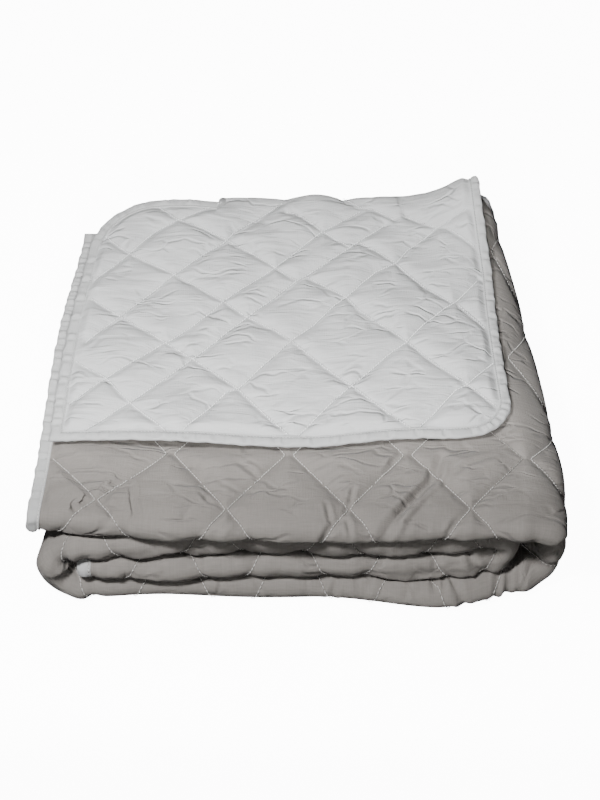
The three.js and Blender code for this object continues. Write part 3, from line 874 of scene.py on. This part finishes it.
def crumple_lines(tree, place):
    """Thin sharp wrinkle lines that come and go, mostly along the cloth."""
    bend = add_node(tree, "TexNoise", {"Vector": place, "Scale": 30.0, "Detail": 2.0}, "Color")
    shift = {0: bend, 1: (0.024, 0.024, 0.0), 2: place}
    bent = add_node(tree, "VectorMath", shift, "Vector", operation="MULTIPLY_ADD")
    cells = {"Vector": stretched(tree, bent, (24.0, 62.0)), "Scale": 1.0}
    away = add_node(tree, "TexVoronoi", cells, "Distance", feature="DISTANCE_TO_EDGE")
    dip = {"Value": away, "From Min": 0.0, "From Max": 0.14, "To Min": -1.0, "To Max": 0.0}
    line = add_node(tree, "MapRange", dip, "Result", interpolation_type="SMOOTHSTEP")
    patch = add_node(tree, "TexNoise", {"Vector": place, "Scale": 26.0, "Detail": 1.0}, "Fac")
    part = {"Value": patch, "From Min": 0.44, "From Max": 0.62}
    shown = add_node(tree, "MapRange", part, "Result", interpolation_type="SMOOTHSTEP")
    return add_node(tree, "Math", {0: line, 1: shown}, operation="MULTIPLY")


def plain_material(name, inputs):
    """A material of plain values."""
    material = bpy.data.materials.new(name)
    material.use_nodes = True
    set_inputs(material.node_tree, material.node_tree.nodes["Principled BSDF"], inputs)
    return material


def cloth_material(name, colour, slub, wrinkle, crumple):
    """A matt woven cloth."""
    matt = {"Roughness": 0.88, "Specular IOR Level": 0.25, "Sheen Weight": 0.12, "Sheen Roughness": 0.5}
    material = plain_material(name, matt)
    tree = material.node_tree
    weave = tree.nodes.new("ShaderNodeGroup")
    weave.node_tree = weave_group()
    set_inputs(tree, weave, {"Slub": slub, "Wrinkle": wrinkle, "Crumple": crumple})
    scaled = {0: tuple(colour)[:3], "Scale": weave.outputs["Tint"]}
    tinted = add_node(tree, "VectorMath", scaled, "Vector", operation="SCALE")
    bump = {"Strength": 1.0, "Distance": 0.0003, "Height": weave.outputs["Height"]}
    normal = add_node(tree, "Bump", bump, "Normal")
    set_inputs(tree, tree.nodes["Principled BSDF"], {"Base Color": tinted, "Normal": normal})
    return material


def thread_material(name, colour, brightness):
    """Plain sewing thread in a lighter or darker shade of a colour."""
    shade = [channel * brightness for channel in colour[:3]]
    return plain_material(name, {"Base Color": (*shade, 1.0), "Roughness": 0.6})


class BEDSPREAD_OT_backing(Operator):
    """Makes the backing cloth, which is outside on the folded strip"""

    bl_idname = "bedspread.backing"
    bl_label = "Backing cloth"

    def execute(self, context):
        settings = context.scene.bedspread
        coarse = strip_columns(BACKING_GRID, 6.0)
        front_rows = graded([FRONT_FROM, -HALF_ARC, HALF_ARC], [3.5, BACKING_STEP])
        bands = [
            (coarse, steps(TUCK - EDGE, FRONT_FROM, HIDDEN_STEP)),
            (strip_columns(FRONT_GRID, BACKING_STEP), front_rows),
            (strip_columns(BACKING_GRID, BACKING_STEP), steps(HALF_ARC, FRONT_TO, BACKING_STEP)),
            (coarse, steps(FRONT_TO, EDGE - TUCK, 7.0)),
        ]
        bm = flat_cloth(bands, steps(FLAP_START + TUCK, FLAP_END - TUCK, 14.0))
        fold_cloth(bm, True, settings.diamond / MM)
        material = cloth_material("Taupe slubbed cotton", settings.backing_colour, 0.28, 4.0, 5.0)
        piece = finish_piece("backing_sheet", to_mesh("backing_sheet", bm), material)
        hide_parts("backing_cloth")
        return {"FINISHED"}


class BEDSPREAD_OT_face(Operator):
    """Makes the face cloth, which shows on the turned-back end"""

    bl_idname = "bedspread.face"
    bl_label = "Face cloth"

    def execute(self, context):
        settings = context.scene.bedspread
        rows = graded([TUCK - EDGE, -HALF_ARC, HALF_ARC, EDGE - TUCK], [HIDDEN_STEP, 4.0, HIDDEN_STEP])
        flap_rows = steps(FLAP_START + TUCK, FLAP_END - TUCK, FACE_STEP)
        bm = flat_cloth([(strip_columns(FACE_GRID, FACE_STEP), rows)], flap_rows)
        fold_cloth(bm, False, settings.diamond / MM)
        material = cloth_material("Light grey cotton", settings.face_colour, 0.10, 7.5, 4.6)
        piece = finish_piece("face_sheet", to_mesh("face_sheet", bm), material)
        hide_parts("face_cloth")
        return {"FINISHED"}


class BEDSPREAD_OT_binding(Operator):
    """Makes the tape that binds the whole edge"""

    bl_idname = "bedspread.binding"
    bl_label = "Binding tape"

    def execute(self, context):
        settings = context.scene.bedspread
        path, inward, gone = outline_path()
        count, size = len(path), len(TAPE_SECTION)
        bm = bmesh.new()
        uv = bm.loops.layers.uv.new("flat")
        rings = []
        flats = []
        for inset, out in TAPE_SECTION:
            flat = path + inward * (inset + edge_wave(gone, inset))
            height = tape_out(gone, np.full(count, inset), np.full(count, out))
            rings.append(folded(flat[:, 0], flat[:, 1], height))
            flats.append(flat * MM)
        verts = [[bm.verts.new(ring[index]) for ring in rings] for index in range(count)]
        for index in range(count):
            after = (index + 1) % count
            for side in range(size):
                beside = (side + 1) % size
                corners = [(index, side), (after, side), (after, beside), (index, beside)]
                face = bm.faces.new([verts[i][k] for i, k in corners])
                face.smooth = True
                for loop, (i, k) in zip(face.loops, corners):
                    loop[uv].uv = flats[k][i]
        bmesh.ops.recalc_face_normals(bm, faces=bm.faces)
        # The tape's colour is its own light grey with painted shade mixed in
        material = cloth_material("Light grey tape", settings.tape_colour_and_shade, 0.10, 2.0, 0.6)
        piece = finish_piece("binding_strip", to_mesh("binding_strip", bm), material)
        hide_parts("binding_tape")
        return {"FINISHED"}


def stitch_mesh(name, starts, ends, middles, ups, width):
    """One mesh of many stitches: each a short four-sided thread that dips into the cloth at both ends."""
    side = unit(np.cross(ends - starts, ups))
    rings = []
    for place, share, sink in ((starts, 0.55, 0.25), (middles, 1.0, 0.0), (ends, 0.55, 0.25)):
        at = place - ups * width * sink
        for turn_side, turn_up in ((1.0, 0.0), (0.0, 0.6), (-1.0, 0.0), (0.0, -0.6)):
            rings.append(at + (side * turn_side + ups * turn_up) * width / 2 * share)
    verts = np.stack(rings, axis=1).reshape(-1, 3)
    quads = [(3, 2, 1, 0), (8, 9, 10, 11)]
    for corner, beside in ((0, 1), (1, 2), (2, 3), (3, 0)):
        for ring in (0, 4):
            quads.append((ring + corner, ring + beside, ring + 4 + beside, ring + 4 + corner))
    faces = (np.array(quads)[None] + 12 * np.arange(len(starts))[:, None, None]).reshape(-1, 4)
    mesh = bpy.data.meshes.new(name)
    mesh.from_pydata(verts.tolist(), [], faces.tolist())
    mesh.polygons.foreach_set("use_smooth", [True] * len(faces))
    mesh.update()
    return mesh


def lay_stitches(name, first, last, out, width, lifted):
    """Stitches between flat places, at the height that a function gives, but none against the floor."""
    middle = (first + last) / 2
    places = [folded(*flat.T, out(*flat.T)) for flat in (first, middle, last)]
    height = out(*middle.T)
    above = height * (1.0 + 1.0 / np.maximum(np.abs(height), 0.5))
    ups = unit(folded(*middle.T, above) - places[1])
    clear = places[1][:, 2] > FLOOR_CLEAR * MM
    starts, middles, ends = (place[clear] for place in places)
    ups = ups[clear]
    lift = ups * lifted
    return stitch_mesh(name, starts + lift, ends + lift, middles + lift * 2.0, ups, width)


def stitch_ends(row, gone, begin, length):
    """First and last places of stitches that begin at distances along a row."""
    return [np.stack([np.interp(at, gone, column) for column in row], axis=1)
            for at in (begin, begin + length)]


def sew(along, across, pitch):
    """First and last places of the stitches along one row of quilting."""
    gone = np.concatenate([[0.0], np.cumsum(np.hypot(np.diff(along), np.diff(across)))])
    begin = np.arange(0.0, gone[-1] - pitch, pitch)
    return stitch_ends((along, across), gone, begin, QUILT_STITCH * pitch)


def clear_of_binding(pairs):
    """Joins the stitches of many rows and leaves out those under the binding."""
    first = np.concatenate([pair[0] for pair in pairs])
    last = np.concatenate([pair[1] for pair in pairs])
    keep = edge_distance(*((first + last) / 2).T) > TAPE_WIDTH + TAPE_CLEAR
    return first[keep], last[keep]


def zigzag_stitches(low, high, rows, pitch, diamond):
    """Stitches of every zigzag row between two places along the strip."""
    base = along_at(NODE_X)
    across = np.arange(rows[0], rows[1], ROW_STEP)
    line = zigzag(across - NODE_ROW, diamond)
    pairs = []
    for number in range(math.floor((low - base) / diamond) - 1, math.ceil((high - base) / diamond) + 1):
        for along in (line, diamond - line):
            first, last = sew(base + diamond * number + along, across, pitch)
            near, far = np.minimum(first[:, 0], last[:, 0]), np.maximum(first[:, 0], last[:, 0])
            inside = (near > low) & (far < high)
            pairs.append((first[inside], last[inside]))
    return pairs


def backing_stitches(pitch, diamond):
    """Stitches of the zigzag rows where the backing shows."""
    top, under, turn = PIECE["top"], PIECE["under"], PIECE["over turn"]
    front, middle, back = (FRONT_FROM, 60.0), (60.0, 160.0), (60.0, EDGE - HEM)
    zones = [
        (HEM, STRIP_END - HEM, front),
        (top["start"], STRIP_END - HEM, middle),
        (turn["start"], under["start"] + under["length"], back),
        (PIECE["under turn"]["start"], along_at(FLAP_RIGHT - 30.0), back),
    ]
    pairs = []
    for low, high, rows in zones:
        pairs += zigzag_stitches(low, high, rows, pitch, diamond)
    return clear_of_binding(pairs)


def flap_stitches(pitch):
    """Stitches of the rows on the turned-back end, inside its rounded corners."""
    pairs = []
    for row in FLAP_ROWS:
        x, deep = np.array(row, dtype=float).T
        pairs.append(sew(along_at(x), deep + FLAP_START, pitch))
    first, last = clear_of_binding(pairs)
    x, across = x_at(first[:, 0]), first[:, 1]
    left, right = flap_side(True, across) + ROUND_CLEAR, flap_side(False, across) - ROUND_CLEAR
    inside = (x > left) & (x < right)
    return first[inside], last[inside]


def binding_stitches():
    """Stitches along the inner edge of the binding, but none across a corner."""
    path, inward, gone = outline_path()
    row = (path + inward * STITCH_INSET).T
    first, last = stitch_ends(row, gone, np.arange(2.0, gone[-1] - 4.0, TAPE_PITCH), TAPE_STITCH * TAPE_PITCH)
    straight = np.linalg.norm(last - first, axis=1) < LONGEST_STITCH
    return first[straight], last[straight]


class BEDSPREAD_OT_stitching(Operator):
    """Makes the quilting stitches that show, and the rows of stitches along the binding"""

    bl_idname = "bedspread.stitching"
    bl_label = "Stitching"

    def execute(self, context):
        settings = context.scene.bedspread
        diamond, pitch, width = settings.diamond / MM, settings.stitch / MM, settings.thread
        white = thread_material("White thread", settings.thread_colour, 1.0)
        mesh = lay_stitches("backing_stitches", *backing_stitches(pitch, diamond),
                            lambda p, q: cloth_height(p, q, True, diamond), width, QUILT_LIFT * MM)
        finish_piece("backing_stitches", mesh, white)
        pale = thread_material("Light grey thread", settings.face_colour, PALE)
        mesh = lay_stitches("face_stitches", *flap_stitches(pitch),
                            lambda p, q: -cloth_height(p, q, False, diamond),
                            width * FLAP_THREAD, FLAP_LIFT * MM)
        finish_piece("face_stitches", mesh, pale)
        # The binding's stitches on the face side are darkened as painted shade of their needle holes
        hole_shade_thread = thread_material("Thread in painted needle-hole shade", settings.tape_colour_and_shade, HOLE_SHADE)
        for name, out, thread in (("binding_stitches_over", STITCH_OUT, white),
                                  ("binding_stitches_under", -STITCH_OUT, hole_shade_thread)):
            mesh = lay_stitches(name, *binding_stitches(),
                                lambda p, q: np.full(len(p), out), width * TAPE_THREAD, TAPE_LIFT * MM)
            finish_piece(name, mesh, thread)
        return {"FINISHED"}


# The stage in metres and watts: lamps, and a flag, which is a card that shades the lower front
LAMPS = [
    {"name": "key", "place": (-0.36, -0.42, 1.08), "size": 0.14, "power": 20.0},
    {"name": "low", "place": (0.0, -0.8, 0.76), "size": 0.12, "power": 14.0},
    {"name": "fill", "place": (0.15, -1.25, 0.3), "size": 0.5, "power": 2.6},
]
LAMP_AIM = Vector((0.0, 0.0, 0.06))
SKY_STRENGTH = 0.09
FLOOR_HALF = 6.0
FLAG_HALF = (1.5, 0.56)
FLAG_PLACE = (0.0, -0.94, 0.35)

# The camera: degrees, metres, and a lens and shift in pixels on a picture whose longer side is given
AZIMUTH = 0.8
ELEVATION = 51.8
DISTANCE = 1.30
CAMERA_AIM = Vector((0.0, 0.0, 0.05))
SENSOR = 36.0
LONG_SIDE = 800.0
FOCAL = 1247.0
SHIFT = (-1.5, -8.0)


def add_card(name, half, place, material=None):
    """A level card on the stage."""
    bm = bmesh.new()
    bmesh.ops.create_grid(bm, x_segments=1, y_segments=1, size=1.0)
    bmesh.ops.scale(bm, vec=(*half, 1.0), verts=bm.verts)
    card = add_object(name, to_mesh(name, bm))
    card.location = place
    if material:
        card.data.materials.append(material)
    return card


def aim(thing, place, direction):
    """Puts a lamp or the camera in its place, facing a direction."""
    thing.location = place
    thing.rotation_mode = "QUATERNION"
    thing.rotation_quaternion = direction.to_track_quat("-Z", "Y")


def add_floor():
    """A bright floor for the camera, a grey ground for the light under the bundle, and the flag."""
    white = (1.0, 1.0, 1.0, 1.0)
    bright = plain_material("Pale floor", {"Base Color": (0.9, 0.9, 0.9, 1.0), "Roughness": 0.95,
                                           "Emission Color": white, "Emission Strength": 12.0})
    grey = plain_material("Grey ground", {"Base Color": (0.3, 0.3, 0.3, 1.0)})
    floor = add_card("floor", (FLOOR_HALF, FLOOR_HALF), (0.0, 0.0, -0.0005), bright)
    ground = add_card("ground", (FLOOR_HALF, FLOOR_HALF), (0.0, 0.0, -0.001), grey)
    flag = add_card("flag", FLAG_HALF, FLAG_PLACE)
    for card in (floor, flag):
        card.visible_diffuse = False
        card.visible_glossy = False
    for card in (ground, flag):
        card.visible_camera = False


def add_lights(scene):
    """The lamps and a weak even light from all round."""
    world = bpy.data.worlds.new("Studio")
    world.use_nodes = True
    sky = {"Color": (1.0, 1.0, 1.0, 1.0), "Strength": SKY_STRENGTH}
    set_inputs(world.node_tree, world.node_tree.nodes["Background"], sky)
    scene.world = world
    for row in LAMPS:
        data = bpy.data.lights.new(row["name"], "AREA")
        data.size = row["size"]
        data.energy = row["power"]
        lamp = add_object(row["name"], data)
        aim(lamp, row["place"], LAMP_AIM - Vector(row["place"]))


def add_camera(scene):
    """The camera, where the photo was taken from."""
    azimuth, elevation = math.radians(AZIMUTH), math.radians(ELEVATION)
    level = math.cos(elevation)
    back = Vector((math.sin(azimuth) * level, -math.cos(azimuth) * level, math.sin(elevation)))
    data = bpy.data.cameras.new("camera")
    data.sensor_width = SENSOR
    data.lens = FOCAL * SENSOR / LONG_SIDE
    data.shift_x = SHIFT[0] / LONG_SIDE
    data.shift_y = SHIFT[1] / LONG_SIDE
    scene.camera = add_object("camera", data)
    aim(scene.camera, CAMERA_AIM + back * DISTANCE, -back)


class BEDSPREAD_OT_stage(Operator):
    """Makes the floor, the lights and the camera"""

    bl_idname = "bedspread.stage"
    bl_label = "Stage"

    def execute(self, context):
        add_floor()
        add_lights(context.scene)
        add_camera(context.scene)
        return {"FINISHED"}


class BEDSPREAD_PT_panel(Panel):
    """Lists the steps that make the bedspread"""

    bl_label = "Bedspread"
    bl_idname = "BEDSPREAD_PT_panel"
    bl_space_type = "VIEW_3D"
    bl_region_type = "UI"
    bl_category = "Bedspread"

    def draw(self, context):
        for name in BedspreadSettings.__annotations__:
            self.layout.prop(context.scene.bedspread, name)
        for step in STEPS:
            self.layout.operator(step.bl_idname)


STEPS = (
    BEDSPREAD_OT_backing,
    BEDSPREAD_OT_face,
    BEDSPREAD_OT_binding,
    BEDSPREAD_OT_stitching,
    BEDSPREAD_OT_stage,
)
CLASSES = (BedspreadSettings, *STEPS, BEDSPREAD_PT_panel)


def register():
    """Registers the settings, the operators and the panel."""
    for item in CLASSES:
        bpy.utils.register_class(item)
    bpy.types.Scene.bedspread = PointerProperty(type=BedspreadSettings)


def unregister():
    """Takes the panel, the operators and the settings out again."""
    del bpy.types.Scene.bedspread
    for item in reversed(CLASSES):
        bpy.utils.unregister_class(item)


def main():
    register()
    bpy.ops.bedspread.backing()
    bpy.ops.bedspread.face()
    bpy.ops.bedspread.binding()
    bpy.ops.bedspread.stitching()
    bpy.ops.bedspread.stage()


if __name__ == "__main__":
    main()
